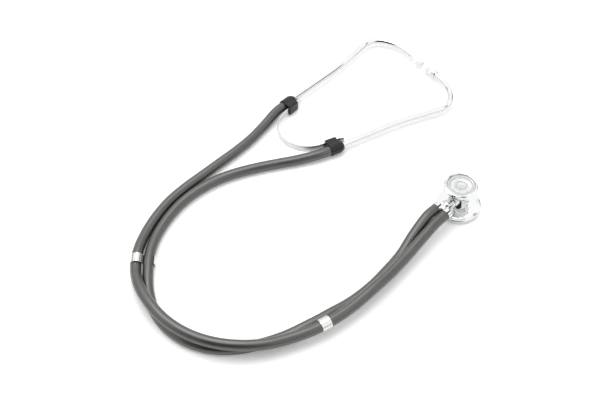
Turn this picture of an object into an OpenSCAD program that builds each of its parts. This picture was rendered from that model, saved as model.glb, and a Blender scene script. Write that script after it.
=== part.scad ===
// Binaural stethoscope with a two-sided chestpiece and twin hoses, lying flat on a table.
// Millimetres, +Z up, origin at the middle of the large diaphragm, which rests on the table.

/* [Large head] */
// Outer diameter of the large retaining ring
large_ring_d = 45; // [42:0.5:48]
// Height of the large retaining ring
large_ring_h = 6.6; // [6:0.1:7.4]
// Width of the ring's wall outside its thread
large_ring_wall = 1.7; // [1.4:0.1:2]
// How far the ring's lip reaches in under the diaphragm
large_lip_w = 3.2; // [2.8:0.1:3.6]

/* [Small head] */
// Outer diameter of the small retaining ring
small_ring_d = 33.6; // [31:0.2:36]
// Height of the small retaining ring
small_ring_h = 5.6; // [5:0.1:6.4]
// Width of the ring's wall outside its thread
small_ring_wall = 1.4; // [1.2:0.1:1.8]
// How far the ring's lip reaches in over the diaphragm
small_lip_w = 2.9; // [2.4:0.1:3.2]

/* [Both heads] */
// Thickness of the whole chestpiece
head_h = 34; // [32:0.5:38]
// Thickness of a diaphragm
diaphragm_t = 0.5; // [0.4:0.05:0.7]
// Thickness of a ring's lip
lip_t = 0.9; // [0.7:0.05:1.1]
// Thickness of the soft washer behind a diaphragm
gasket_t = 0.8; // [0.6:0.05:1]
// Thickness of a cup's flange next to its ring
flange_t = 0.9; // [0.7:0.1:1.2]
// Radius of the sound passage in cups and drum
sound_r = 1.6; // [1.2:0.1:1.8]
// Radius of the neck that joins a cup to the drum
neck_r = 6.4; // [5.5:0.1:7]
// Length of a cup's neck inside the drum
neck_h = 1.6; // [1:0.1:2]

/* [Drum and spindle] */
// Radius of the drum between the heads
drum_r = 9.6; // [9:0.1:10.4]
// Height of the drum
drum_h = 13.6; // [13:0.1:14.4]
// Radius of the drum's boss that faces the hoses
boss_r = 6; // [5.6:0.1:6.3]
// Distance from the head's axis to the face of that boss
boss_reach = 12.2; // [11.6:0.1:13]
// Radius of the spindle that the head turns on
spindle_r = 3; // [2.8:0.1:3.2]
// Radius of the passage in the spindle
spindle_bore_r = 1.5; // [1.2:0.1:1.7]
// Thickness of the slip washer between drum and yoke
washer_t = 0.6; // [0.4:0.1:0.8]
// Radius of the click ball
ball_r = 1.4; // [1.2:0.1:1.5]
// Depth of the groove that the click ball runs in
track_depth = 0.4; // [0.3:0.05:0.5]
// Radius of the plug that holds the click spring
plug_r = 2.3; // [2.1:0.1:2.6]
// Radius of the retaining screw's head
screw_head_r = 3.9; // [3.6:0.1:4.2]

/* [Yoke] */
// Distance from the head's axis to the hose mouths
mouth_reach = 29; // [28:0.5:32]
// Distance between the two nipples
nipple_pitch = 11.4; // [11.2:0.1:12]
// Radius of the yoke's hub
hub_r = 5.4; // [5:0.1:5.8]
// Length of a nipple inside its hose
nipple_len = 11; // [9:0.5:11.5]
// Direction of the stem on the table, in degrees
stem_turn = 45; // [40:1:50]

/* [Hoses] */
// Outer diameter of a hose
hose_d = 10.5; // [10:0.1:10.6]
// Inner diameter of a hose
hose_bore_d = 5.4; // [5:0.1:5.8]
// Distance between the hoses where a clip holds them
clip_pitch = 11.7; // [11.6:0.1:12]
// Thickness of a hose clip's sheet
clip_t = 0.8; // [0.6:0.05:0.9]
// Width of a hose clip along the hose
clip_w = 10; // [8:0.5:12]

/* [Leaf spring] */
// Width of the strip, which stands on its edge
spring_w = 8; // [7:0.2:9]
// Thickness of the strip
spring_t = 0.8; // [0.7:0.05:1]
// Radius of the strip's bow
spring_r = 31.5; // [30:0.5:33]

/* [Spring holders] */
// Radius of a holder's barrel
holder_r = 6.7; // [6.5:0.1:6.75]
// Length of a holder along its ear tube
holder_len = 16; // [14:0.5:18]
// Depth of the cup that takes the hose end
hose_cup = 3; // [2:0.5:4]

/* [Ear tubes] */
// Outer diameter of an ear tube
ear_tube_d = 6.4; // [6:0.1:6.6]
// Wall of an ear tube
ear_tube_wall = 0.8; // [0.6:0.1:1]
// Length of the lower straight
lower_straight = 62; // [56:1:70]
// Length of the upper straight
upper_straight = 32; // [28:1:36]
// Radius of the tight bend
tight_r = 22; // [20:0.5:24]
// Radius of the easy bend that ends at the ear tip
easy_r = 48; // [44:1:52]

/* [Ear tips] */
// Largest diameter of an ear tip
tip_d = 13; // [12:0.1:13.4]
// Length of an ear tip
tip_len = 17; // [15:0.5:18]
// Distance between the two ear tips at rest
tip_gap = 0.8; // [0.6:0.1:2]

/* [Hidden] */
$fn = 64;

// Clearances
fit = 0.05;       // running fit of a turning pair, and of a screwed or pushed pair
seat = 0.1;       // axial clearance of a turning pair
bore_fit = 0.15;  // room between a nipple and the flats of its hose
eps = 0.01;

// Large head, counted up from the table
large_r = large_ring_d / 2;
large_thread_r = large_r - large_ring_wall;
large_face_t = diaphragm_t;
lip_lift = 0.15;
large_seat_z = lip_lift + lip_t;
large_gasket_z = large_seat_z + diaphragm_t;
large_cup_z = large_gasket_z + gasket_t;
large_flange_z = lip_lift + large_ring_h;

// Small head, counted down from the top
small_r = small_ring_d / 2;
small_thread_r = small_r - small_ring_wall;
small_seat_z = lip_t;
small_gasket_z = small_seat_z + diaphragm_t;
small_cup_z = small_gasket_z + gasket_t;
small_flange_z = small_ring_h;

stem_z = head_h / 2;
drum_low = stem_z - drum_h / 2;
drum_top = stem_z + drum_h / 2;
dish = 3.2;
small_dish = 2.2;

// Stem, measured from the head's axis towards the hoses
hub_face = boss_reach + washer_t + 2 * seat;
hub_len = 5.6;
collar_r = nipple_pitch / 2 - 0.15;
knee_r = 4.2;                   // slim enough for the large head to turn past
collar_len = knee_r + 0.4;      // so that the knee's ball ends inside the collar
far_pocket = 2.6;
screw_head_h = 1.7;
spindle_far = drum_r - far_pocket + seat;
spindle_near = hub_face + 6;
ball_reach = spindle_r + ball_r - track_depth;
plug_len = 1.8;
plug_sunk = 0.6;

hose_r = hose_d / 2;
hose_bore_r = hose_bore_d / 2;
hose_sides = 12;
nipple_r = hose_bore_r * cos(180 / hose_sides) - bore_fit - 0.15;
barb_r = nipple_r + 0.15;
nipple_bore_r = 1.4;

// Binaural: its own frame lies on the table, Y runs from the bow of the spring to the ear tips
bin_x = -150.3;
bin_y = 103.5;
bin_turn = -53;
bin_z = 6.8;
arm_lean = 8;      // outward lean of the lower straight
bow_y = -30.5;     // nearest point of the spring's bow
bow_sweep = 78;    // half angle of the bow
leg_lean = 90 - bow_sweep;
// an ear tube's straight starts beside the end of the bow, this far out and up from it
arm_out = 10.79;
arm_up = 12.55;
arm_x = spring_r * cos(leg_lean) + arm_out;
arm_y = bow_y + spring_r * (1 - sin(leg_lean)) + arm_up;
gentle_r = 260;
gentle_turn = 7;
tight_turn = 67;
easy_turn = 36;
ear_r = ear_tube_d / 2;
ear_bore_r = ear_r - ear_tube_wall;
holder_low = -holder_len / 2;         // along the ear tube, from the point (arm_x, arm_y)
ear_low = -3.6;
bead_r = ear_r + 0.5;
bead_at = -2.4;
bead_w = 1.2;
ferrule_r = 4.3;
ferrule_over = 3;
ferrule_lip = 1;
stub_r = 2.1;
stub_len = 7;

// Steps along a path that is made of straights and bends
function unit(v) = v / norm(v);
function along(h) = [sin(h), cos(h)];
function right_step(r, h0, h1) = r * [cos(h0) - cos(h1), sin(h1) - sin(h0)];
function left_step(r, h0, h1) = r * [cos(h1) - cos(h0), sin(h0) - sin(h1)];
h1 = arm_lean;
h2 = h1 + gentle_turn;
h3 = h2 - tight_turn;
h4 = h3 - easy_turn;
ear_start = [arm_x, arm_y] + ear_low * along(h1);
easy_end = ear_start + (lower_straight - ear_low) * along(h1) + right_step(gentle_r, h1, h2)
           + upper_straight * along(h2) + left_step(tight_r, h2, h3) + left_step(easy_r, h3, h4);
end_straight = (easy_end[0] - tip_gap / 2) / -sin(h4) - ferrule_lip - tip_len;

// Hose ends and hose clips
function turned(p, a) = [p[0] * cos(a) - p[1] * sin(a), p[0] * sin(a) + p[1] * cos(a)];
function bin_point(p, z) = concat([bin_x, bin_y] + turned(p, bin_turn), [z]);
hose_start = holder_low + hose_cup - seat;
function holder_point(side, t) =
    let (p = [arm_x, arm_y] + (hose_start - t) * along(arm_lean)) bin_point([side * p[0], p[1]], bin_z);
function mouth_point(side, t) =
    concat(turned([-mouth_reach - t, -side * nipple_pitch / 2], stem_turn), [stem_z]);

// A hose clip: middle, direction of the hoses on the table, and tilt of the pair about it
clip_lift = 0.15;
function clip_z(tilt) = clip_pitch / 2 * (1 + sin(tilt)) + clip_t / 2 + clip_lift;
far_clip_turn = -90;
far_clip_tilt = 172;
far_clip_at = [-305, -72.5, clip_z(far_clip_tilt)];
near_clip_turn = 32;
near_clip_tilt = 148;
near_clip_at = [-137, -142.5, clip_z(near_clip_tilt)];
function clip_point(at, turn, tilt, side, t) =
    let (w = side * clip_pitch / 2, q = turned([t, w * cos(tilt)], turn)) at + [q[0], q[1], w * sin(tilt)];

// Route of the left hose, from its holder over the right hose to the yoke
left_route = concat(
    [holder_point(-1, 0), holder_point(-1, 12)],
    [[-196, 107, 5.5], [-209, 88, 5.3], [-224, 70.5, 5.3], [-240, 54, 5.3], [-256, 37.5, 5.3],
     [-272.2, 20.7, 5.3], [-286.8, 2.6, 5.3], [-297.9, -17.3, 5.5], [-306.3, -38.9, 6]],
    [clip_point(far_clip_at, far_clip_turn, far_clip_tilt, 1, -11),
     clip_point(far_clip_at, far_clip_turn, far_clip_tilt, 1, 11)],
    [[-304.2, -106.2, 13.7], [-292.6, -126.5, 16], [-277, -144.5, 16.2], [-257.5, -158.5, 16.1],
     [-235.5, -167.5, 16.2], [-212, -171, 15.8], [-188.5, -169, 14.2], [-166.9, -162.4, 12.8]],
    [clip_point(near_clip_at, near_clip_turn, near_clip_tilt, 1, -11),
     clip_point(near_clip_at, near_clip_turn, near_clip_tilt, 1, 11)],
    [[-106, -125.5, 13], [-88.3, -108.2, 13.9], [-71.5, -90, 13.4], [-55.9, -71.1, 13.6],
     [-40.8, -52.2, 15.3]],
    [mouth_point(1, 12), mouth_point(1, 0)]);

// Route of the right hose, from its holder along the table to the yoke
right_route = concat(
    [holder_point(1, 0), holder_point(1, 12)],
    [[-159, 58.5, 5.6], [-180, 53.5, 5.3], [-202, 47.5, 5.3], [-223, 40, 5.3], [-242.5, 30, 5.3],
     [-260, 16.5, 5.3], [-275, 0, 5.3], [-286.5, -19, 5.3], [-295, -39.5, 5.3]],
    [clip_point(far_clip_at, far_clip_turn, far_clip_tilt, -1, -11),
     clip_point(far_clip_at, far_clip_turn, far_clip_tilt, -1, 11)],
    [[-296.5, -106.5, 5.3], [-289, -128, 5.3], [-275.5, -146.5, 5.3], [-257.5, -160, 5.3],
     [-235.5, -167.5, 5.3], [-213, -168, 5.3], [-190.5, -163, 5.3], [-169.5, -155, 5.3]],
    [clip_point(near_clip_at, near_clip_turn, near_clip_tilt, -1, -11),
     clip_point(near_clip_at, near_clip_turn, near_clip_tilt, -1, 11)],
    [[-109.5, -118, 5.3], [-91.5, -102, 5.3], [-75.5, -83.5, 5.3], [-60.5, -64, 6.2], [-47.5, -44, 11.6]],
    [mouth_point(-1, 12), mouth_point(-1, 0)]);

// Sweeps
function heading(p, i) =
    i == 0 ? unit(p[1] - p[0])
    : i == len(p) - 1 ? unit(p[i] - p[i - 1])
    : unit(unit(p[i + 1] - p[i]) + unit(p[i] - p[i - 1]));
function circle_at(c, t, r, n) =
    let (s = unit(cross([0, 0, 1], t)), u = cross(t, s))
    [for (k = [0:n - 1]) c + r * (cos(360 * (k + 0.5) / n) * s + sin(360 * (k + 0.5) / n) * u)];
function skin(first, rings, n, out) =
    [for (i = [0:rings - 2], k = [0:n - 1])
        let (a = first + i * n + k, b = first + i * n + (k + 1) % n, c = b + n, d = a + n)
        out ? [a, b, c, d] : [d, c, b, a]];

// Hollow hose: an outer and an inner skin of rings along the route, closed by flat end rings
module hose(p) {
    m = len(p);
    n = hose_sides;
    outer = [for (i = [0:m - 1]) each circle_at(p[i], heading(p, i), hose_r, n)];
    inner = [for (i = [0:m - 1]) each circle_at(p[i], heading(p, i), hose_bore_r, n)];
    far = (m - 1) * n;
    ends = [for (k = [0:n - 1]) let (q = (k + 1) % n) each
            [[k, m * n + k, m * n + q, q], [far + q, far + m * n + q, far + m * n + k, far + k]]];
    polyhedron(points = concat(outer, inner),
               faces = concat(skin(0, m, n, true), skin(m * n, m, n, false), ends), convexity = 10);
}

// Solid wire: one skin of rings along the route, with flat ends
module wire(p, r, n) {
    m = len(p);
    rings = [for (i = [0:m - 1]) each circle_at(p[i], heading(p, i), r, n)];
    polyhedron(points = rings,
               faces = concat(skin(0, m, n, true), [[for (k = [n - 1:-1:0]) k]],
                              [[for (k = [0:n - 1]) (m - 1) * n + k]]), convexity = 10);
}

// Frames
module stem_frame() { translate([0, 0, stem_z]) rotate([0, 0, stem_turn]) children(); }
module towards_hoses() { stem_frame() rotate([0, -90, 0]) children(); }
module bin_frame() { translate([bin_x, bin_y, bin_z]) rotate([0, 0, bin_turn]) children(); }
module right_arm() { bin_frame() translate([arm_x, arm_y, 0]) rotate([0, 0, -arm_lean]) children(); }
module left_arm() { bin_frame() mirror([1, 0, 0]) translate([arm_x, arm_y, 0]) rotate([0, 0, -arm_lean]) children(); }
module down_y() { rotate([-90, 0, 0]) children(); }
module go(l) { translate([0, l, 0]) children(); }
module turn_right(r, a) { translate([r, 0, 0]) rotate([0, 0, -a]) translate([-r, 0, 0]) children(); }
module turn_left(r, a) { translate([-r, 0, 0]) rotate([0, 0, a]) translate([r, 0, 0]) children(); }
module annulus(r1, r0, h) {
    difference() {
        cylinder(r = r1, h = h);
        translate([0, 0, -eps]) cylinder(r = r0, h = h + 2 * eps);
    }
}

// Large head
module large_diaphragm() {
    r = large_thread_r - fit;
    face_r = large_r - large_lip_w - 0.3;
    color("dimgray") rotate_extrude($fn = 96)
        polygon([[0, 0], [face_r - 0.4, 0], [face_r, 0.12], [face_r + 0.1, large_seat_z], [r, large_seat_z],
                 [r, large_gasket_z], [face_r - 0.5, large_gasket_z], [face_r - 0.6, large_face_t], [0, large_face_t]]);
}

module large_gasket() {
    color("black") translate([0, 0, large_gasket_z])
        annulus(large_thread_r - fit, large_thread_r - 2.2, gasket_t, $fn = 96);
}

module large_ring() {
    r0 = large_r - large_lip_w;
    top = lip_lift + large_ring_h;
    color("silver") rotate_extrude($fn = 96)
        polygon([[r0, lip_lift + 0.35], [r0 + 0.5, lip_lift], [large_r - 0.9, lip_lift], [large_r - 0.3, lip_lift + 0.3],
                 [large_r, lip_lift + 0.9], [large_r, top - 2.5], [large_r - 0.45, top - 2.2],
                 [large_r - 0.45, top - 1.7], [large_r, top - 1.4], [large_r, top - 0.8],
                 [large_r - 0.25, top - 0.25], [large_r - 0.8, top], [large_thread_r, top],
                 [large_thread_r, large_seat_z], [r0, large_seat_z]]);
}

module large_cup() {
    r = large_thread_r - fit;
    rim = large_thread_r - 2.2;
    z0 = large_cup_z;
    z1 = large_flange_z;
    color("silver") rotate_extrude($fn = 96)
        polygon([[sound_r, z0 + dish], [4.5, z0 + dish - 0.2], [rim - 5, z0 + 1.5], [rim, z0], [r, z0], [r, z1],
                 [r + 0.8, z1], [r + 0.9, z1 + 0.3], [r + 0.7, z1 + 0.7], [r - 0.4, z1 + flange_t + 0.1],
                 [r - 3.2, z1 + flange_t + 0.8], [r - 6.6, z1 + flange_t + 1.5], [drum_r + 1.6, z1 + flange_t + 1.9],
                 [drum_r + 0.5, drum_low - 0.5], [drum_r + 0.1, drum_low], [neck_r, drum_low],
                 [neck_r, drum_low + neck_h], [sound_r, drum_low + neck_h]]);
}

// Drum between the heads, bored along the stem for the spindle
module drum() {
    color("silver") difference() {
        union() {
            rotate_extrude($fn = 96)
                polygon([[0, drum_low + seat / 2], [drum_r - 0.3, drum_low + seat / 2], [drum_r, drum_low + 0.4],
                         [drum_r, drum_low + 1.5], [drum_r - 0.5, drum_low + 2], [drum_r - 0.5, drum_top - 2],
                         [drum_r, drum_top - 1.5], [drum_r, drum_top - 0.4], [drum_r - 0.3, drum_top - seat / 2],
                         [0, drum_top - seat / 2]]);
            towards_hoses() cylinder(r = boss_r, h = boss_reach - 0.5);
            towards_hoses() translate([0, 0, boss_reach - 0.5]) cylinder(r1 = boss_r, r2 = boss_r - 0.5, h = 0.5);
        }
        // spindle bore, right through, and the pocket for its screw
        towards_hoses() translate([0, 0, -drum_r - 1]) cylinder(r = spindle_r + fit, h = drum_r + boss_reach + 2);
        towards_hoses() translate([0, 0, -drum_r - 1]) cylinder(r = screw_head_r + 2 * fit, h = far_pocket + 1);
        // sound passages and the seats of the two necks
        translate([0, 0, drum_low - 1]) cylinder(r = sound_r, h = drum_h + 2);
        translate([0, 0, drum_low - 1]) cylinder(r = neck_r + fit, h = neck_h + seat + 1);
        translate([0, 0, drum_top - neck_h - seat]) cylinder(r = neck_r + fit, h = neck_h + seat + 1);
        // side hole for the click ball, its spring and its plug
        stem_frame() rotate([90, 0, 0]) cylinder(r = ball_r + fit, h = drum_r + 1);
        stem_frame() rotate([90, 0, 0]) translate([0, 0, drum_r - plug_len - plug_sunk]) cylinder(r = plug_r + fit, h = plug_len + 2);
    }
}

module click_ball() {
    color("silver") stem_frame() translate([0, -ball_reach, 0]) sphere(r = ball_r, $fn = 32);
}

module click_spring() {
    turns = 3.5;
    wire_r = 0.16;
    low = ball_reach + ball_r + wire_r + seat;
    high = drum_r - plug_len - plug_sunk - wire_r - seat;
    coil_r = ball_r - wire_r - 2 * fit;
    steps = 35;
    color("silver") stem_frame() rotate([90, 0, 0])
        wire([for (i = [0:steps]) let (a = 360 * turns * i / steps)
              [coil_r * cos(a), coil_r * sin(a), low + (high - low) * i / steps]], wire_r, 6);
}

module spring_plug() {
    color("silver") stem_frame() rotate([90, 0, 0]) translate([0, 0, drum_r - plug_len - plug_sunk]) difference() {
        cylinder(r = plug_r, h = plug_len, $fn = 48);
        translate([-plug_r - 1, -0.3, plug_len - 0.7]) cube([2 * plug_r + 2, 0.6, 2]);
    }
}

// Small head, its pieces drawn downwards from the top face
module from_top() { translate([0, 0, head_h]) mirror([0, 0, 1]) children(); }

module small_cup() {
    r = small_thread_r - fit;
    rim = small_thread_r - 2;
    z0 = small_cup_z;
    z1 = small_flange_z;
    d0 = head_h - drum_top;
    color("silver") from_top() rotate_extrude($fn = 96)
        polygon([[sound_r, z0 + small_dish + 0.6], [2.4, z0 + small_dish - 0.2], [4.6, z0 + small_dish - 0.2],
                 [4.9, z0 + small_dish + 0.3], [7.6, z0 + small_dish - 0.1], [7.8, z0 + small_dish - 0.5],
                 [rim - 2.5, z0 + 0.9], [rim, z0], [r, z0], [r, z1],
                 [r + 0.6, z1], [r + 0.7, z1 + 0.3], [r + 0.5, z1 + 0.7], [r - 0.5, z1 + flange_t + 0.2],
                 [r - 2.2, z1 + flange_t + 1], [drum_r + 1.6, z1 + flange_t + 1.9], [drum_r + 0.5, d0 - 0.5],
                 [drum_r + 0.1, d0], [neck_r, d0], [neck_r, d0 + neck_h], [sound_r, d0 + neck_h]]);
}

module small_gasket() {
    color("black") from_top() translate([0, 0, small_gasket_z])
        annulus(small_thread_r - fit, small_thread_r - 2, gasket_t, $fn = 96);
}

module small_diaphragm() {
    color("whitesmoke", 0.5) from_top() translate([0, 0, small_seat_z])
        cylinder(r = small_thread_r - fit, h = diaphragm_t, $fn = 96);
}

module small_ring() {
    r0 = small_r - small_lip_w;
    low = small_ring_h;
    color("silver") from_top() rotate_extrude($fn = 96)
        polygon([[r0, 0.5], [r0 + 0.25, 0.15], [r0 + 0.7, 0], [small_r - 1.5, 0], [small_r - 1.2, 0.25],
                 [small_r - 0.7, 0.35], [small_r - 0.2, 0.8], [small_r, 1.5], [small_r, low - 2.2],
                 [small_r - 0.4, low - 1.9], [small_r - 0.4, low - 1.5], [small_r, low - 1.2],
                 [small_r, low - 0.6], [small_r - 0.6, low], [small_thread_r, low],
                 [small_thread_r, small_seat_z], [r0, small_seat_z]]);
}

// Spindle: a tube from the yoke through the drum, with a side port to the head in use
module spindle() {
    color("silver") difference() {
        towards_hoses() translate([0, 0, -spindle_far]) cylinder(r = spindle_r, h = spindle_far + spindle_near);
        towards_hoses() translate([0, 0, -sound_r]) cylinder(r = spindle_bore_r, h = spindle_near + sound_r + 1);
        stem_frame() rotate([180, 0, 0]) cylinder(r = spindle_bore_r, h = spindle_r + 1);
        // thread core for the retaining screw
        towards_hoses() translate([0, 0, -spindle_far - 1]) cylinder(r = 1.25, h = 5);
        // groove for the seal
        towards_hoses() translate([0, 0, boss_reach - 3.4]) annulus(spindle_r + 1, spindle_r - 0.8, 1.2);
        // track and rests of the click ball
        towards_hoses() rotate_extrude() translate([ball_reach, 0]) circle(r = ball_r + fit, $fn = 48);
        for (s = [-1, 1]) stem_frame() translate([0, s * (ball_reach - 0.15), 0]) sphere(r = ball_r + fit, $fn = 48);
    }
}

module spindle_seal() {
    color("black") towards_hoses() translate([0, 0, boss_reach - 2.8])
        rotate_extrude($fn = 48) translate([spindle_r - 0.4, 0]) circle(r = 0.36, $fn = 24);
}

module spindle_screw() {
    color("silver") difference() {
        union() {
            towards_hoses() translate([0, 0, -spindle_far - screw_head_h])
                intersection() {
                    cylinder(r = screw_head_r, h = screw_head_h);
                    translate([0, 0, 7.2]) sphere(r = 7.9, $fn = 96);
                }
            towards_hoses() translate([0, 0, -spindle_far - 0.5]) cylinder(r = 1.2, h = 4.2);
        }
        towards_hoses() translate([-0.45, -screw_head_r - 1, -spindle_far - screw_head_h - 1])
            cube([0.9, 2 * screw_head_r + 2, 1.8]);
    }
}

module slip_washer() {
    color("white") towards_hoses() translate([0, 0, boss_reach + seat])
        annulus(hub_r - 0.2, spindle_r + fit, washer_t, $fn = 48);
}

// Yoke: one passage in, two barbed nipples out
module nipple_body() {
    for (s = [0, 1, 2])
        translate([0, 0, mouth_reach + 2.2 + s * 3]) cylinder(r1 = barb_r, r2 = nipple_r - 0.1, h = 2.2, $fn = 48);
    translate([0, 0, mouth_reach - 1]) cylinder(r = nipple_r - 0.1, h = nipple_len + 1, $fn = 48);
}

module yoke() {
    w = nipple_pitch / 2;
    z0 = hub_face + hub_len;
    z1 = mouth_reach - collar_len;
    lean = atan((w - 1.2) / (z1 - z0 + 2));
    arm_len = (z1 - z0 + 2) / cos(lean);
    color("silver") difference() {
        union() {
            towards_hoses() translate([0, 0, hub_face]) cylinder(r = hub_r, h = hub_len);
            towards_hoses() translate([0, 0, z0]) sphere(r = hub_r, $fn = 96);
            for (s = [-1, 1]) {
                towards_hoses() translate([0, s * 1.2, z0 - 2]) rotate([-s * lean, 0, 0])
                    cylinder(r1 = knee_r, r2 = knee_r - 0.3, h = arm_len);
                towards_hoses() translate([0, s * w, z1]) sphere(r = knee_r, $fn = 96);
                towards_hoses() translate([0, s * w, z1 - 1]) cylinder(r1 = knee_r, r2 = collar_r - 0.2, h = 1);
                towards_hoses() translate([0, s * w, z1]) cylinder(r = collar_r - 0.2, h = collar_len - 1.2);
                towards_hoses() translate([0, s * w, mouth_reach - 1.6]) cylinder(r = collar_r, h = 1.6 - seat);
                towards_hoses() translate([0, s * w, 0]) nipple_body();
            }
            // web that fills the fork
            towards_hoses() translate([-3.6, 0, 0]) rotate([0, 90, 0])
                linear_extrude(height = 7.2)
                    polygon([[-hub_face - 1, -hub_r + 1.6], [-z1 - 1, -w - 1.4], [-mouth_reach + 1.8, -w],
                             [-mouth_reach + 1.8, w], [-z1 - 1, w + 1.4], [-hub_face - 1, hub_r - 1.6]]);
        }
        // socket for the spindle and the forked passage
        towards_hoses() translate([0, 0, hub_face - 1]) cylinder(r = spindle_r + fit, h = spindle_near - hub_face + 1 + seat);
        towards_hoses() translate([0, 0, spindle_near]) cylinder(r = nipple_bore_r, h = 1.5);
        for (s = [-1, 1]) {
            a = atan(w / (mouth_reach - spindle_near - 1));
            towards_hoses() translate([0, 0, spindle_near + 1]) rotate([-s * a, 0, 0])
                cylinder(r = nipple_bore_r, h = (mouth_reach - spindle_near - 1) / cos(a));
            towards_hoses() translate([0, s * w, mouth_reach - 1]) cylinder(r = nipple_bore_r, h = nipple_len + 2);
        }
    }
}

module left_hose() { color("gray") hose(left_route); }
module right_hose() { color("gray") hose(right_route); }

// Hose clip: an S of sheet, over one hose, down between the two and under the other
module clip_band(over) {
    r = clip_pitch / 2 - clip_t / 2;
    for (s = [-1, 1]) translate([0, s * clip_pitch / 2, 0]) rotate([s > 0 ? 0 : 180, 0, 0])
        rotate([90, 0, 90]) translate([0, 0, -clip_w / 2])
            rotate_extrude(angle = 222, start = over > 0 ? -42 : 180, $fn = 96)
                translate([r, 0]) square([clip_t, clip_w]);
}

module far_hose_clip() {
    color("gainsboro") translate(far_clip_at) rotate([0, 0, far_clip_turn]) rotate([far_clip_tilt, 0, 0]) clip_band(-1);
}

module near_hose_clip() {
    color("gainsboro") translate(near_clip_at) rotate([0, 0, near_clip_turn]) rotate([near_clip_tilt, 0, 0]) clip_band(-1);
}

// Leaf spring: a strip on its edge, bowed round the near side with a leg along each holder
leg_len = 19.5;
kick_r = 10;
kick_turn = 22;
kick_len = 3.5;
strip_lap = 0.3;
// A straight is a hair thicker than the bends, so that each bend ends inside it
module strip(l) {
    translate([-spring_t / 2 - eps, -strip_lap, -spring_w / 2 - eps])
        cube([spring_t + 2 * eps, l + 2 * strip_lap, spring_w + 2 * eps]);
}
module strip_arc(r, start, a) {
    rotate_extrude(angle = a, start = start, $fn = 128)
        translate([r - spring_t / 2, -spring_w / 2]) square([spring_t, spring_w]);
}
module spring_leg() {
    translate([0, bow_y + spring_r, 0]) rotate([0, 0, -leg_lean]) translate([spring_r, 0, 0]) {
        strip(leg_len);
        go(leg_len) translate([kick_r, 0, 0]) strip_arc(kick_r, 180 - kick_turn, kick_turn);
        go(leg_len) turn_right(kick_r, kick_turn) strip(kick_len);
    }
}
module leaf_spring() {
    color("lightsteelblue") bin_frame() {
        translate([0, bow_y + spring_r, 0]) strip_arc(spring_r, -90 - bow_sweep, 2 * bow_sweep);
        spring_leg();
        mirror([1, 0, 0]) spring_leg();
    }
}

// Spring holder: hose nipple and cup at one end, ear tube socket at the other, slot for the strip
module holder_body() {
    top = holder_len + holder_low;
    difference() {
        union() {
            down_y() rotate_extrude($fn = 96)
                polygon([[0, holder_low], [holder_r - 0.5, holder_low], [holder_r, holder_low + 0.5],
                         [holder_r, top - 5], [holder_r - 0.4, top - 3.4], [holder_r - 1.3, top - 1.4],
                         [holder_r - 2.2, top - 0.3], [holder_r - 2.7, top], [0, top]]);
            holder_pad();
        }
        // cup for the hose end, ear tube socket with a groove for the tube's bead, and the passage
        down_y() translate([0, 0, holder_low - 1]) cylinder(r = hose_r + bore_fit, h = hose_cup + 1);
        down_y() translate([0, 0, ear_low - seat]) cylinder(r = ear_r + fit, h = holder_len);
        down_y() translate([0, 0, bead_at - bead_w / 2 - seat]) cylinder(r = bead_r + fit, h = bead_w + 2 * seat);
        down_y() translate([0, 0, holder_low - 1]) cylinder(r = nipple_bore_r, h = holder_len);
        holder_slot();
    }
    // hose nipple
    difference() {
        down_y() translate([0, 0, holder_low + hose_cup - nipple_len + 1.5]) holder_nipple();
        down_y() translate([0, 0, holder_low - nipple_len]) cylinder(r = nipple_bore_r, h = nipple_len + hose_cup + 2);
    }
}
module holder_nipple() {
    l = nipple_len - 1.5;
    cylinder(r = nipple_r - 0.1, h = l + eps, $fn = 48);
    for (s = [0, 1]) translate([0, 0, 0.6 + s * 3.4]) cylinder(r1 = nipple_r - 0.1, r2 = barb_r, h = 2.4, $fn = 48);
}
// The strip's leg seen from the ear tube's frame
pad_w = 5;
pad_h = 12.4;
pad_start = 6;
pad_len = 12;
pad_root = 4;     // how far the pad reaches into the barrel
module on_leg() {
    rotate([0, 0, arm_lean]) translate([-arm_x, -arm_y, 0])
        translate([0, bow_y + spring_r, 0]) rotate([0, 0, -leg_lean]) translate([spring_r, 0, 0]) children();
}
module holder_pad() {
    on_leg() translate([-pad_w / 2, pad_start, 0]) rotate([-90, 0, 0]) linear_extrude(height = pad_len)
        polygon([[0, -pad_h / 2 + 1.4], [1.2, -pad_h / 2], [pad_w + pad_root, -pad_h / 2],
                 [pad_w + pad_root, pad_h / 2], [1.2, pad_h / 2], [0, pad_h / 2 - 1.4]]);
}
module holder_slot() {
    on_leg() translate([-spring_t / 2 - seat, pad_start - 1, -spring_w / 2 - seat])
        cube([spring_t + 2 * seat, pad_len + 2, spring_w + 2 * seat]);
}
module left_spring_holder() { color([0.12, 0.12, 0.13]) left_arm() holder_body(); }
module right_spring_holder() { color([0.12, 0.12, 0.13]) right_arm() holder_body(); }

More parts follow.
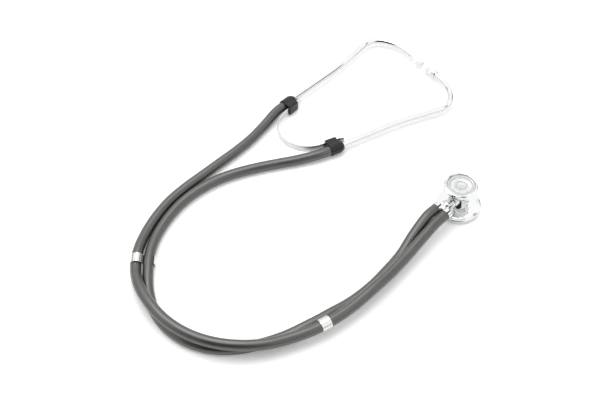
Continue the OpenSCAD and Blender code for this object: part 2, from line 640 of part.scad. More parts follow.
// Ear tube: straight, gentle bend, straight, tight bend, easy bend
// The straights are a hair thicker than the bends, so that each bend ends inside its neighbour's wall
ear_lap = 0.3;
module ring_2d(more) { difference() { circle(r = ear_r + more); circle(r = ear_bore_r - more); } }
module tube_straight(l, lap_in, lap_out) {
    go(-lap_in) down_y() linear_extrude(height = l + lap_in + lap_out) ring_2d(eps);
}
module arc_right(r, a) { translate([r, 0, 0]) rotate_extrude(angle = a, start = 180 - a) translate([r, 0]) ring_2d(0); }
module arc_left(r, a) { translate([-r, 0, 0]) rotate_extrude(angle = a) translate([r, 0]) ring_2d(0); }
module at_tube_end() {
    go(lower_straight) turn_right(gentle_r, gentle_turn) go(upper_straight) turn_left(tight_r, tight_turn)
        turn_left(easy_r, easy_turn) go(end_straight) children();
}
module ear_tube_body() {
    go(ear_low) tube_straight(lower_straight - ear_low, 0, ear_lap);
    go(lower_straight) {
        arc_right(gentle_r, gentle_turn);
        turn_right(gentle_r, gentle_turn) {
            tube_straight(upper_straight, ear_lap, ear_lap);
            go(upper_straight) {
                arc_left(tight_r, tight_turn);
                turn_left(tight_r, tight_turn) {
                    tube_straight(0, ear_lap, ear_lap);
                    arc_left(easy_r, easy_turn);
                    turn_left(easy_r, easy_turn) tube_straight(end_straight, ear_lap, 0);
                }
            }
        }
    }
    // rolled bead that keeps the tube in its holder
    down_y() translate([0, 0, bead_at - bead_w / 2]) annulus(bead_r, ear_r - 0.2, bead_w);
}
module left_ear_tube() { color("silver") left_arm() ear_tube_body(); }
module right_ear_tube() { color("silver") right_arm() ear_tube_body(); }

// Ferrule: sleeve over the tube's end, with the stub that the ear tip screws on
module ferrule_body() {
    at_tube_end() down_y() rotate_extrude($fn = 64)
        polygon([[ear_r + fit, -ferrule_over], [ferrule_r - 0.6, -ferrule_over], [ferrule_r, -ferrule_over + 0.7],
                 [ferrule_r, ferrule_lip - 0.4], [ferrule_r - 0.4, ferrule_lip], [stub_r, ferrule_lip],
                 [stub_r, ferrule_lip + stub_len], [stub_r - 0.7, ferrule_lip + stub_len],
                 [stub_r - 0.7, 0.1], [ear_r + fit, 0.1]]);
}
module left_tip_ferrule() { color("silver") left_arm() ferrule_body(); }
module right_tip_ferrule() { color("silver") right_arm() ferrule_body(); }

// Ear tip: soft mushroom with a skirt, screwed on the ferrule
module tip_body() {
    r = tip_d / 2;
    wide = tip_len - 8.6;
    hole = 1.3;
    dome = [for (a = [6:6:72]) [r * cos(a), wide + (tip_len - wide) * sin(a)]];
    at_tube_end() go(ferrule_lip) down_y() rotate_extrude($fn = 64)
        polygon(concat([[stub_r + fit, 0], [4.5, 0], [4.9, 0.4], [4.9, 1.4], [4.3, 2.2], [4, 3.4], [4.3, 4.6],
                        [5.2, 5.6], [r - 0.5, wide - 1.6], [r - 0.1, wide - 0.7], [r, wide]], dome,
                       [[hole + 0.7, tip_len - 0.12], [hole, tip_len - 0.5], [hole, stub_len + 0.4],
                        [stub_r + fit, stub_len + 0.4]]));
}
module left_ear_tip() { color("white") left_arm() tip_body(); }
module right_ear_tip() { color("white") right_arm() tip_body(); }

large_diaphragm();
large_gasket();
large_ring();
large_cup();
drum();
small_cup();
small_gasket();
small_diaphragm();
small_ring();
click_ball();
click_spring();
spring_plug();
spindle();
spindle_seal();
spindle_screw();
slip_washer();
yoke();
left_hose();
right_hose();
near_hose_clip();
far_hose_clip();
leaf_spring();
left_spring_holder();
right_spring_holder();
left_ear_tube();
right_ear_tube();
left_tip_ferrule();
right_tip_ferrule();
left_ear_tip();
right_ear_tip();
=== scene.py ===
"""Looks of a binaural stethoscope that lies on a pale table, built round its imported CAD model.

Everything is in metres, in the frame of the CAD part: the origin is on the table under the
chestpiece, X runs along the table's width, Y along its depth and Z up.
"""

import math

import bpy
import numpy as np
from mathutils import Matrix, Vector


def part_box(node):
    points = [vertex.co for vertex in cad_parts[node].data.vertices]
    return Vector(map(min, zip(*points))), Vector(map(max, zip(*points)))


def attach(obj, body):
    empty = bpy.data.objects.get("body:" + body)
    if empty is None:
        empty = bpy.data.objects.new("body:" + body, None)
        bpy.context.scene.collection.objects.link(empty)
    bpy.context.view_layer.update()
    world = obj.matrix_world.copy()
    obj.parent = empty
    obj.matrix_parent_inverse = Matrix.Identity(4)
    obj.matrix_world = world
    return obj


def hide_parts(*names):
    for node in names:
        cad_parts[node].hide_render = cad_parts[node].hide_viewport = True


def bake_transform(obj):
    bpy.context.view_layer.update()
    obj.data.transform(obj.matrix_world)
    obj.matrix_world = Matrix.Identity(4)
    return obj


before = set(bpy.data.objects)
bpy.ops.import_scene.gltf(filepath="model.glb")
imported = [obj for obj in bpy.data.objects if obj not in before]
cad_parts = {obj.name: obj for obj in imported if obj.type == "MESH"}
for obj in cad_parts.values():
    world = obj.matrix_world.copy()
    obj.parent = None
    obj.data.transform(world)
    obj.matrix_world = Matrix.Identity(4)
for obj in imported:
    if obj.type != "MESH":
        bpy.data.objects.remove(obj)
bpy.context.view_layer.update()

# Camera: one metre from the middle of the view, 50 degrees above the table
VIEW_X = -0.15098
VIEW_Y = 0.00382
VIEW_DISTANCE = 1.0
VIEW_ELEVATION = math.radians(50)
VIEW_NEAR = 0.01
VIEW_FAR = 20
SENSOR_MM = 36
LENS_MM = 58.82   # so that the focal length is 1000 pixels of a picture 612 pixels wide

# Hoses
HOSE_RADIUS = 0.00525
HOSE_BORE_RADIUS = 0.0027
HOSE_SIDES = 40
HOSE_STEP = 0.0025
CURVE_SAMPLES = 60   # points of the curve from one point of a route to the next
NEAR_CUT = 0.02      # how far before a cut end the hose has its last ring but one, in steps
END_RUN = 0.012      # straight end of a route, in a holder or a mouth
CLIP_RUN = 0.011     # half of a route's straight stretch in a clip
LEFT_HOSE_LENGTH = 0.664
RIGHT_HOSE_LENGTH = 0.647
# The right hose is two pieces. They meet this many steps from its holder, under the other hose
SPLIT_POINT = 150
# Start and end of a stretch of each hose near its holder
LEFT_BEND = ((-0.228, 0.066, 0.006), (-0.2075, 0.1224, 0.006))
RIGHT_BEND = ((-0.208, 0.0455, 0.006), (-0.144, 0.0625, 0.006))

# The binaural lies in a frame of its own, whose Y runs from the bow to the ear tips
BIN_X = -0.1503
BIN_Y = 0.1035
BIN_Z = 0.0068
BIN_TURN = math.radians(-53)
ARM_X = 0.0416
ARM_Y = 0.007
ARM_LEAN = math.radians(8)
HOSE_START = -0.0051

# Leaf spring, as in the CAD part
STRIP_WIDTH = 0.008
STRIP_THICK = 0.0008
BOW_RADIUS = 0.0315
BOW_Y = -0.0305
BOW_SWEEP = math.radians(78)
LEG_LENGTH = 0.0195
KICK_RADIUS = 0.010
KICK_TURN = math.radians(22)
KICK_LENGTH = 0.0035
STRIP_CORNER = 0.0002
BOW_STEPS = 40
KICK_STEPS = 8
LEG_STOPS = (0.33, 0.66, 1.0)   # where the leg has its sections, as shares of its length

# Stem of the chestpiece
STEM_TURN = math.radians(45)
STEM_Z = 0.017
MOUTH_REACH = 0.029
NIPPLE_PITCH = 0.0114
CLIP_PITCH = 0.0117
CLIP_THICK = 0.0008
CLIP_LIFT = 0.00015
# Each clip: the place of its middle on the table, its turn there and its tilt
FAR_CLIP = (-0.305, -0.0725, math.radians(-90), math.radians(172))
NEAR_CLIP = (-0.137, -0.1425, math.radians(32), math.radians(148))

# Ridges moulded on the clear sheet of the small head: their radii, and the section of each
RIDGE_RADII = (0.0052, 0.0112)
RIDGE_HALF_WIDTH = 0.0007
RIDGE_HEIGHT = 0.0003
RIDGE_SINK = 0.00008
RIDGE_UNDERSIDE = -0.2   # where the section is cut flat, as a share of its height
RIDGE_SEGMENTS = 96
RIDGE_SIDES = 12

# Finishes: the stretch of the noise over which a finish changes, and the grain's depth
NOISE_FROM = 0.3
NOISE_TO = 0.7
BLOTCH_DETAIL = 3
GRAIN_DETAIL = 2
GRAIN_DEPTH = 0.0001

# Light: the tent's brightness at the horizon and overhead, and the heights (as the sine of the
# angle above the table) between which it rises
TENT_LOW = 0.14
TENT_HIGH = 1.42
TENT_FROM = 0.06
TENT_TO = 0.27
FLOOR_GLOW = 0.2    # how strongly the table top glows
FLOOR_REACH = 4.0
KEY_PLACE = (-0.45, 0.35, 1.6)
KEY_AIM = (-0.15, 0.0, 0.0)
KEY_SIZE = 1.2
KEY_POWER = 12
# Its dark places: middle, direction in which the place is long, half width and half length in
# degrees, the angle over which its edge fades, and the brightness that is left
DARK_PLACES = (
    # On the near side, round the camera
    ((-0.20, -0.75, 0.63), (1, 0, 0), 24, 30, 12, 0.02),
    # High on the right, a gap between two cloths
    ((0.624, 0.156, 0.766), (0.65, -0.58, -0.49), 3.5, 12, 3, 0.05),
    # At the back, a gap on the right and one on the left
    ((0.66, 0.64, 0.38), (0, 0, 1), 4, 9, 8, 0.30),
    ((-0.80, 0.52, 0.30), (0, 0, 1), 2.5, 10, 2, 0.15),
)


def turned(x, y, angle):
    """A point of the table turned about the origin."""
    return x * math.cos(angle) - y * math.sin(angle), x * math.sin(angle) + y * math.cos(angle)


def binaural_point(x, y, z=0.0):
    """A point of the binaural's own frame, in the part's frame."""
    px, py = turned(x, y, BIN_TURN)
    return (BIN_X + px, BIN_Y + py, BIN_Z + z)


def holder_point(side, t):
    """A point on the hose's line, t metres out of the spring holder on that side."""
    x = ARM_X + (HOSE_START - t) * math.sin(ARM_LEAN)
    y = ARM_Y + (HOSE_START - t) * math.cos(ARM_LEAN)
    return binaural_point(side * x, y)


def mouth_point(side, t):
    """A point on the hose's line, t metres out of the yoke's mouth on that side."""
    x, y = turned(-MOUTH_REACH - t, -side * NIPPLE_PITCH / 2, STEM_TURN)
    return (x, y, STEM_Z)


def clip_point(clip, side, t):
    """A point on the hose's line inside a clip, t metres along it from the clip's middle."""
    x, y, turn, tilt = clip
    z = CLIP_PITCH / 2 * (1 + math.sin(tilt)) + CLIP_THICK / 2 + CLIP_LIFT
    w = side * CLIP_PITCH / 2
    dx, dy = turned(t, w * math.cos(tilt), turn)
    return (x + dx, y + dy, z + w * math.sin(tilt))


def mm(rows):
    """Millimetres to metres."""
    return [tuple(v / 1000 for v in row) for row in rows]


LEFT_ROUTE = (
    [holder_point(-1, 0), holder_point(-1, END_RUN)]
    + mm([(-196, 107, 5.5), (-209, 88, 5.3), (-224, 70.5, 5.3), (-240, 54, 5.3), (-256, 37.5, 5.3),
          (-272.2, 20.7, 5.3), (-286.8, 2.6, 5.3), (-297.9, -17.3, 5.5), (-306.3, -38.9, 6)])
    + [clip_point(FAR_CLIP, 1, -CLIP_RUN), clip_point(FAR_CLIP, 1, CLIP_RUN)]
    + mm([(-304.2, -106.2, 13.7), (-292.6, -126.5, 16), (-277, -144.5, 16.2), (-257.5, -158.5, 16.1),
          (-235.5, -167.5, 16.2), (-212, -171, 15.8), (-188.5, -169, 14.2), (-166.9, -162.4, 12.8)])
    + [clip_point(NEAR_CLIP, 1, -CLIP_RUN), clip_point(NEAR_CLIP, 1, CLIP_RUN)]
    + mm([(-106, -125.5, 13), (-88.3, -108.2, 13.9), (-71.5, -90, 13.4), (-55.9, -71.1, 13.6),
          (-40.8, -52.2, 15.3)])
    + [mouth_point(1, END_RUN), mouth_point(1, 0)]
)
RIGHT_ROUTE = (
    [holder_point(1, 0), holder_point(1, END_RUN)]
    + mm([(-159, 58.5, 5.6), (-180, 53.5, 5.3), (-202, 47.5, 5.3), (-223, 40, 5.3), (-242.5, 30, 5.3),
          (-260, 16.5, 5.3), (-275, 0, 5.3), (-286.5, -19, 5.3), (-295, -39.5, 5.3)])
    + [clip_point(FAR_CLIP, -1, -CLIP_RUN), clip_point(FAR_CLIP, -1, CLIP_RUN)]
    + mm([(-296.5, -106.5, 5.3), (-289, -128, 5.3), (-275.5, -146.5, 5.3), (-257.5, -160, 5.3),
          (-235.5, -167.5, 5.3), (-213, -168, 5.3), (-190.5, -163, 5.3), (-169.5, -155, 5.3)])
    + [clip_point(NEAR_CLIP, -1, -CLIP_RUN), clip_point(NEAR_CLIP, -1, CLIP_RUN)]
    + mm([(-109.5, -118, 5.3), (-91.5, -102, 5.3), (-75.5, -83.5, 5.3), (-60.5, -64, 6.2),
          (-47.5, -44, 11.6)])
    + [mouth_point(-1, END_RUN), mouth_point(-1, 0)]
)


def make_camera():
    """The photograph's view: the camera looks down at the table from the near side."""
    data = bpy.data.cameras.new("camera")
    data.sensor_width = SENSOR_MM
    data.lens = LENS_MM
    data.clip_start, data.clip_end = VIEW_NEAR, VIEW_FAR
    camera = bpy.data.objects.new("camera", data)
    bpy.context.collection.objects.link(camera)
    aim = Vector((VIEW_X, VIEW_Y, 0))
    back = Vector((0, -math.cos(VIEW_ELEVATION), math.sin(VIEW_ELEVATION)))
    camera.location = aim + VIEW_DISTANCE * back
    camera.rotation_euler = (-back).to_track_quat("-Z", "Y").to_euler()
    bpy.context.scene.camera = camera


def mesh_object(name, points, faces, flat=0):
    """A mesh object from an array of points and a list of faces, of which the last few are flat."""
    mesh = bpy.data.meshes.new(name)
    mesh.from_pydata(points.tolist(), [], faces)
    mesh.polygons.foreach_set("use_smooth", [True] * (len(faces) - flat) + [False] * flat)
    mesh.update()
    piece = bpy.data.objects.new(name, mesh)
    bpy.context.collection.objects.link(piece)
    return piece


def smooth_line(route, step):
    """A centripetal Catmull-Rom curve through the route's points, read off at even steps.

    Each stretch blends its four nearest points by knots spaced by the root of their distances.
    """
    p = np.array(route, float)
    p = np.vstack([2 * p[0] - p[1], p, 2 * p[-1] - p[-2]])
    u = np.linspace(0, 1, CURVE_SAMPLES, endpoint=False)[:, None]
    out = []
    for i in range(len(p) - 3):
        q = p[i:i + 4]
        k = np.concatenate([[0], np.cumsum(np.sqrt(np.linalg.norm(np.diff(q, axis=0), axis=1)))])
        t = k[1] + (k[2] - k[1]) * u
        a = [((k[j + 1] - t) * q[j] + (t - k[j]) * q[j + 1]) / (k[j + 1] - k[j]) for j in range(3)]
        b = [((k[j + 2] - t) * a[j] + (t - k[j]) * a[j + 1]) / (k[j + 2] - k[j]) for j in range(2)]
        out.append(((k[2] - t) * b[0] + (t - k[1]) * b[1]) / (k[2] - k[1]))
    line = np.vstack(out + [p[-2][None]])
    s = np.concatenate([[0], np.cumsum(np.linalg.norm(np.diff(line, axis=0), axis=1))])
    even = np.linspace(0, s[-1], int(round(s[-1] / step)) + 1)
    return np.stack([np.interp(even, s, line[:, c]) for c in range(3)], axis=1)


def frames_along(line):
    """Unit sideways and upward vectors of a line that never stands upright."""
    heading = np.gradient(line, axis=0)
    heading /= np.linalg.norm(heading, axis=1)[:, None]
    side = np.cross(np.array([0.0, 0.0, 1.0]), heading)
    side /= np.linalg.norm(side, axis=1)[:, None]
    return side, np.cross(heading, side)


def grid_faces(rows, columns, offset=0, flip=False):
    """Quads of a grid whose columns close on themselves."""
    i, k = np.meshgrid(np.arange(rows - 1), np.arange(columns), indexing="ij")
    a = offset + i * columns + k
    b = offset + i * columns + (k + 1) % columns
    quads = np.stack([a, b, b + columns, a + columns], axis=-1).reshape(-1, 4)
    return (quads[:, ::-1] if flip else quads).tolist()


def ring_faces(first, second, columns):
    """Quads that join two rings of the same count, point by point."""
    k = np.arange(columns)
    return np.stack([first + k, second + k, second + (k + 1) % columns, first + (k + 1) % columns],
                    axis=1).tolist()


def read_at(values, rows):
    """Rows of a list of points or vectors, read off between its whole-numbered rows."""
    return np.stack([np.interp(rows, np.arange(len(values)), values[:, c]) for c in range(3)], axis=1)


def hose(name, line, first, last):
    """A hollow hose along rows first to last of the line: a circle carried along it, outside and
    in the bore.

    The ends are cut flat, with a ring close before each so that the shading of the side runs on up
    to the cut. The frames come from the whole line, so that two stretches meet ring on ring.
    """
    side, up = frames_along(line)
    rows = np.concatenate([[first, first + NEAR_CUT], np.arange(first + 1, last),
                           [last - NEAR_CUT, last]])
    centre, side, up = read_at(line, rows), read_at(side, rows), read_at(up, rows)
    angle = 2 * np.pi * np.arange(HOSE_SIDES) / HOSE_SIDES
    circle = np.cos(angle)[None, :, None] * side[:, None] + np.sin(angle)[None, :, None] * up[:, None]
    outer = (centre[:, None] + HOSE_RADIUS * circle).reshape(-1, 3)
    inner = (centre[:, None] + HOSE_BORE_RADIUS * circle).reshape(-1, 3)
    n = len(rows) * HOSE_SIDES
    end = n - HOSE_SIDES
    faces = grid_faces(len(rows), HOSE_SIDES) + grid_faces(len(rows), HOSE_SIDES, n, True)
    faces += ring_faces(0, n, HOSE_SIDES) + ring_faces(n + end, end, HOSE_SIDES)
    return mesh_object(name, np.vstack([outer, inner]), faces, flat=2 * HOSE_SIDES)


def spring_half(name, side):
    """Half of the leaf spring: a flat section carried along the bow, the leg and the kicked end.

    The line is an arc, a straight, a small arc and a straight, each tangent to the last. The
    section is a rectangle with its corners cut off.
    """
    line = [np.array([0.0, BOW_Y])]
    centre = np.array([0.0, BOW_Y + BOW_RADIUS])
    for a in np.linspace(0, BOW_SWEEP, BOW_STEPS + 1)[1:]:
        line.append(centre + BOW_RADIUS * np.array([math.sin(a), -math.cos(a)]))
    lean = math.pi / 2 - BOW_SWEEP
    along = np.array([math.sin(lean), math.cos(lean)])
    here = line[-1]
    line += [here + along * LEG_LENGTH * f for f in LEG_STOPS]
    here = line[-1]
    right = np.array([along[1], -along[0]])
    for a in np.linspace(0, KICK_TURN, KICK_STEPS + 1)[1:]:
        line.append(here + KICK_RADIUS * (math.sin(a) * along + (1 - math.cos(a)) * right))
    out = lean + KICK_TURN
    line.append(line[-1] + KICK_LENGTH * np.array([math.sin(out), math.cos(out)]))
    line = np.array([binaural_point(side * x, y) for x, y in line])
    across, up = frames_along(line)
    w, h, c = STRIP_THICK / 2, STRIP_WIDTH / 2, STRIP_CORNER
    section = np.array([[-w, -h + c], [-w + c, -h], [w - c, -h], [w, -h + c],
                        [w, h - c], [w - c, h], [-w + c, h], [-w, h - c]])
    n = len(section)
    points = (line[:, None] + section[None, :, :1] * across[:, None] + section[None, :, 1:] * up[:, None])
    faces = grid_faces(len(line), n)
    faces += [list(range(n))[::-1], [(len(line) - 1) * n + k for k in range(n)]]
    return mesh_object(name, points.reshape(-1, 3), faces, flat=len(faces))


def moulded_ridges(name, top):
    """Two low round ridges on the clear sheet, round the head's axis, which is the part's Z axis.

    Each is an ellipse turned about the axis, cut flat underneath and sunk a little into the sheet.
    """
    turn = 2 * np.pi * np.arange(RIDGE_SEGMENTS) / RIDGE_SEGMENTS
    around = 2 * np.pi * np.arange(RIDGE_SIDES) / RIDGE_SIDES
    points, faces = [], []
    for radius in RIDGE_RADII:
        r = radius + RIDGE_HALF_WIDTH * np.cos(around)[None, :]
        z = top - RIDGE_SINK + RIDGE_HEIGHT * np.maximum(np.sin(around), RIDGE_UNDERSIDE)[None, :]
        ring = np.stack([r * np.cos(turn)[:, None], r * np.sin(turn)[:, None],
                         np.broadcast_to(z, (len(turn), len(around)))], axis=-1)
        first = len(points) * len(turn) * len(around)
        faces += grid_faces(len(turn), len(around), first, True)
        last = first + (len(turn) - 1) * len(around)
        faces += [face[::-1] for face in ring_faces(first, last, len(around))]
        points.append(ring.reshape(-1, 3))
    return mesh_object(name, np.vstack(points), faces)


def math_node(nodes, link, operation, *given):
    """The output of a Math node whose inputs are sockets or plain numbers."""
    made = nodes.new("ShaderNodeMath")
    made.operation = operation
    for socket, value in zip(made.inputs, given):
        if isinstance(value, (int, float)):
            socket.default_value = value
        else:
            link(value, socket)
    return made.outputs[0]


def smooth_step(nodes, link, value, low, high, first, last):
    """A value that runs smoothly from first to last while the given one goes from low to high."""
    made = nodes.new("ShaderNodeMapRange")
    made.interpolation_type = "SMOOTHSTEP"
    for label, number in (("From Min", low), ("From Max", high), ("To Min", first), ("To Max", last)):
        made.inputs[label].default_value = number
    link(value, made.inputs["Value"])
    return made.outputs["Result"]


def sky_dot(nodes, link, place, direction):
    """The cosine of the angle between the ray and a direction of the sky."""
    made = nodes.new("ShaderNodeVectorMath")
    made.operation = "DOT_PRODUCT"
    made.inputs[1].default_value = direction
    link(place.outputs["Generated"], made.inputs[0])
    return made.outputs["Value"]


def new_group(name, inputs, outputs):
    """An empty shader group with its sockets: name, type and default of each input."""
    group = bpy.data.node_groups.new(name, "ShaderNodeTree")
    for label, kind, value in inputs:
        socket = group.interface.new_socket(label, in_out="INPUT", socket_type=kind)
        socket.default_value = value
    for label, kind in outputs:
        group.interface.new_socket(label, in_out="OUTPUT", socket_type=kind)
    return group, group.nodes.new("NodeGroupInput"), group.nodes.new("NodeGroupOutput")


def fine_finish_group():
    """Soft blotches and fine grain, as a value for roughness, and a faint relief."""
    group, given, made = new_group(
        "fine finish",
        [("Blotch Scale", "NodeSocketFloat", 60.0), ("Grain Scale", "NodeSocketFloat", 900.0),
         ("Low", "NodeSocketFloat", 0.1), ("High", "NodeSocketFloat", 0.2),
         ("Relief", "NodeSocketFloat", 0.1)],
        [("Value", "NodeSocketFloat"), ("Mask", "NodeSocketFloat"), ("Normal", "NodeSocketVector")])
    link = group.links.new
    place = group.nodes.new("ShaderNodeTexCoord")
    blotch = group.nodes.new("ShaderNodeTexNoise")
    blotch.inputs["Detail"].default_value = BLOTCH_DETAIL
    grain = group.nodes.new("ShaderNodeTexNoise")
    grain.inputs["Detail"].default_value = GRAIN_DETAIL
    for noise, label in ((blotch, "Blotch Scale"), (grain, "Grain Scale")):
        link(place.outputs["Object"], noise.inputs["Vector"])
        link(given.outputs[label], noise.inputs["Scale"])
    spread = group.nodes.new("ShaderNodeMapRange")
    spread.inputs["From Min"].default_value = NOISE_FROM
    spread.inputs["From Max"].default_value = NOISE_TO
    link(blotch.outputs["Fac"], spread.inputs["Value"])
    link(given.outputs["Low"], spread.inputs["To Min"])
    link(given.outputs["High"], spread.inputs["To Max"])
    relief = group.nodes.new("ShaderNodeBump")
    relief.inputs["Distance"].default_value = GRAIN_DEPTH
    link(grain.outputs["Fac"], relief.inputs["Height"])
    link(given.outputs["Relief"], relief.inputs["Strength"])
    link(spread.outputs["Result"], made.inputs["Value"])
    link(blotch.outputs["Fac"], made.inputs["Mask"])
    link(relief.outputs["Normal"], made.inputs["Normal"])
    return group


def material(name, shade, dark, low, high, metallic=0.0, blotch=60.0, grain=900.0, relief=0.1, **plain):
    """A Principled material whose colour runs between two shades and whose gloss varies a little."""
    made = bpy.data.materials.new(name)
    made.use_nodes = True
    nodes, link = made.node_tree.nodes, made.node_tree.links.new
    shader = nodes["Principled BSDF"]
    finish = nodes.new("ShaderNodeGroup")
    finish.node_tree = FINE_FINISH
    for label, value in (("Blotch Scale", blotch), ("Grain Scale", grain), ("Low", low),
                         ("High", high), ("Relief", relief)):
        finish.inputs[label].default_value = value
    ramp = nodes.new("ShaderNodeValToRGB")
    ramp.color_ramp.elements[0].position = NOISE_FROM
    ramp.color_ramp.elements[0].color = (*dark, 1)
    ramp.color_ramp.elements[1].position = NOISE_TO
    ramp.color_ramp.elements[1].color = (*shade, 1)
    link(finish.outputs["Mask"], ramp.inputs["Fac"])
    link(ramp.outputs["Color"], shader.inputs["Base Color"])
    link(finish.outputs["Value"], shader.inputs["Roughness"])
    link(finish.outputs["Normal"], shader.inputs["Normal"])
    shader.inputs["Metallic"].default_value = metallic
    for label, value in plain.items():
        shader.inputs[label.replace("_", " ")].default_value = value
    return made


def give(node, finish):
    """Puts a material on a CAD node."""
    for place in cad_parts[node].material_slots:
        place.material = finish


def make_floor():
    """A plain white table top, faintly lit from below as product tables are."""
    points = FLOOR_REACH * np.array([[-1, -1, 0], [1, -1, 0], [1, 1, 0], [-1, 1, 0]])
    floor = mesh_object("table_top", points, [[0, 1, 2, 3]], flat=1)
    white = material("table white", (0.90, 0.90, 0.90), (0.89, 0.89, 0.89), 0.6, 0.7, blotch=3.0,
                     grain=400.0, relief=0.0, Emission_Color=(1.0, 1.0, 1.0, 1),
                     Emission_Strength=FLOOR_GLOW)
    floor.data.materials.append(white)


def soft_light(name, place, aim, size, power):
    """A square soft box that faces a point of the table."""
    data = bpy.data.lights.new(name, "AREA")
    data.shape, data.size, data.energy = "SQUARE", size, power
    lamp = bpy.data.objects.new(name, data)
    bpy.context.collection.objects.link(lamp)
    lamp.location = place
    lamp.rotation_euler = (Vector(aim) - Vector(place)).to_track_quat("-Z", "Y").to_euler()


def make_world():
    """A white tent round the table, with the dark places that polished metal shows as thin lines.

    Its brightness rises with height, and is multiplied by what each dark place leaves of it.
    """
    world = bpy.data.worlds.new("studio")
    world.use_nodes = True
    nodes, link = world.node_tree.nodes, world.node_tree.links.new
    back = nodes["Background"]
    place = nodes.new("ShaderNodeTexCoord")
    split = nodes.new("ShaderNodeSeparateXYZ")
    link(place.outputs["Generated"], split.inputs["Vector"])
    level = smooth_step(nodes, link, split.outputs["Z"], TENT_FROM, TENT_TO, TENT_LOW, TENT_HIGH)
    for middle, along, wide, long, fade, rest in DARK_PLACES:
        middle = Vector(middle).normalized()
        across = middle.cross(Vector(along)).normalized()
        off = sky_dot(nodes, link, place, across)
        size = math_node(nodes, link, "ABSOLUTE", off)
        beside = smooth_step(nodes, link, size, math.sin(math.radians(wide)),
                             math.sin(math.radians(min(wide + fade, 90))), 1.0, 0.0)
        inside = smooth_step(nodes, link, sky_dot(nodes, link, place, middle),
                             math.cos(math.radians(long + fade)), math.cos(math.radians(long)), 0.0, 1.0)
        mask = math_node(nodes, link, "MULTIPLY", beside, inside)
        left = math_node(nodes, link, "MULTIPLY_ADD", mask, rest - 1.0, 1.0)
        level = math_node(nodes, link, "MULTIPLY", level, left)
    link(level, back.inputs["Strength"])
    back.inputs["Color"].default_value = (1.0, 1.0, 0.99, 1)
    bpy.context.scene.world = world


make_camera()

left_line = smooth_line(LEFT_ROUTE, HOSE_STEP)
right_line = smooth_line(RIGHT_ROUTE, HOSE_STEP)
left_hose = hose("left_hose_tube", left_line, 0, len(left_line) - 1)
right_hose = hose("right_hose_tube", right_line, SPLIT_POINT, len(right_line) - 1)
right_hose_end = hose("right_hose_end", right_line, 0, SPLIT_POINT)
for piece, line, length, node in (
        (left_hose, left_line, LEFT_HOSE_LENGTH, "left_hose"),
        (right_hose, right_line[SPLIT_POINT:], RIGHT_HOSE_LENGTH - SPLIT_POINT * HOSE_STEP, "right_hose"),
        (right_hose_end, right_line[:SPLIT_POINT + 1], SPLIT_POINT * HOSE_STEP, "right_hose")):
    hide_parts(node)
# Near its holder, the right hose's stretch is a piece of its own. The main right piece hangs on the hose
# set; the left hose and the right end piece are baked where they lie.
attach(right_hose, "hose_set")
for piece, arm, bend in ((left_hose, "left_arm", LEFT_BEND), (right_hose_end, "right_arm", RIGHT_BEND)):
    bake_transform(piece)

left_spring = spring_half("left_spring_half", -1)
right_spring = spring_half("right_spring_half", 1)
for piece, arm, side in ((left_spring, "left_arm", -1), (right_spring, "right_arm", 1)):
    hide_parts("leaf_spring")
    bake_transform(piece)

ridges = moulded_ridges("diaphragm_ridges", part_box("small_diaphragm")[1][2])
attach(ridges, "chest_head")

FINE_FINISH = fine_finish_group()
chrome = material("chrome plate", (0.69, 0.695, 0.70), (0.655, 0.66, 0.67), 0.02, 0.06,
                  metallic=1.0, blotch=45.0, grain=1400.0, relief=0.015)
nickel = material("nickel sheet", (0.66, 0.65, 0.62), (0.60, 0.59, 0.565), 0.12, 0.22,
                  metallic=1.0, blotch=90.0, grain=1800.0, relief=0.03)
steel = material("spring steel", (0.62, 0.63, 0.64), (0.56, 0.57, 0.58), 0.14, 0.22,
                 metallic=1.0, blotch=120.0, grain=2500.0, relief=0.05)
vinyl = material("hose vinyl", (0.031, 0.031, 0.0285), (0.024, 0.024, 0.022), 0.29, 0.37,
                 blotch=70.0, grain=2200.0, relief=0.05, IOR=1.85)
black_plastic = material("holder plastic", (0.010, 0.010, 0.0105), (0.006, 0.006, 0.0065), 0.20, 0.30,
                         blotch=150.0, grain=2600.0, relief=0.06, IOR=1.38)
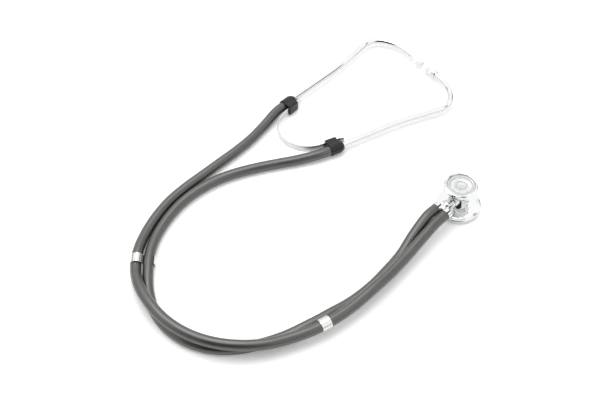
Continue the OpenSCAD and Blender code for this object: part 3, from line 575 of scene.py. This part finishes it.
white_tip = material("tip plastic", (0.93, 0.93, 0.91), (0.91, 0.91, 0.885), 0.30, 0.40,
                     blotch=120.0, grain=2400.0, relief=0.04)
resin = material("diaphragm resin", (0.60, 0.60, 0.56), (0.52, 0.52, 0.48), 0.3, 0.42,
                 blotch=200.0, grain=3000.0, relief=0.1)
clear = material("clear sheet", (0.93, 0.94, 0.94), (0.88, 0.89, 0.89), 0.06, 0.12,
                 blotch=80.0, grain=2000.0, relief=0.01, Alpha=0.36, IOR=1.49)
# A darker, less clear copy of the clear sheet: painted shade on the moulded ridges
clear_painted_shade = material("clear sheet painted shade", (0.58, 0.59, 0.60), (0.52, 0.53, 0.54), 0.08, 0.14,
                      blotch=80.0, grain=2000.0, relief=0.01, Alpha=0.6, IOR=1.49)
rubber = material("seal rubber", (0.03, 0.03, 0.03), (0.02, 0.02, 0.02), 0.5, 0.65,
                  blotch=150.0, grain=2600.0, relief=0.1)
nylon = material("slip nylon", (0.82, 0.82, 0.79), (0.76, 0.76, 0.72), 0.35, 0.45,
                 blotch=150.0, grain=2600.0, relief=0.04)

for node in ("large_ring", "large_cup", "drum", "small_cup", "small_ring", "spring_plug", "spindle",
             "spindle_screw", "yoke", "left_ear_tube", "right_ear_tube", "left_tip_ferrule",
             "right_tip_ferrule"):
    give(node, chrome)
for node in ("near_hose_clip", "far_hose_clip"):
    give(node, nickel)
for node in ("click_ball", "click_spring"):
    give(node, steel)
for node in ("left_spring_holder", "right_spring_holder"):
    give(node, black_plastic)
for node in ("left_ear_tip", "right_ear_tip"):
    give(node, white_tip)
for node in ("large_gasket", "small_gasket", "spindle_seal"):
    give(node, rubber)
give("large_diaphragm", resin)
give("small_diaphragm", clear)
# The ridges get the darker copy of the clear sheet: painted shade
ridges.data.materials.append(clear_painted_shade)
give("slip_washer", nylon)
for piece in (left_hose, right_hose, right_hose_end):
    piece.data.materials.append(vinyl)
for piece in (left_spring, right_spring):
    piece.data.materials.append(steel)

make_floor()
make_world()
soft_light("key", KEY_PLACE, KEY_AIM, KEY_SIZE, KEY_POWER)
bpy.context.scene.view_settings.view_transform = "Standard"
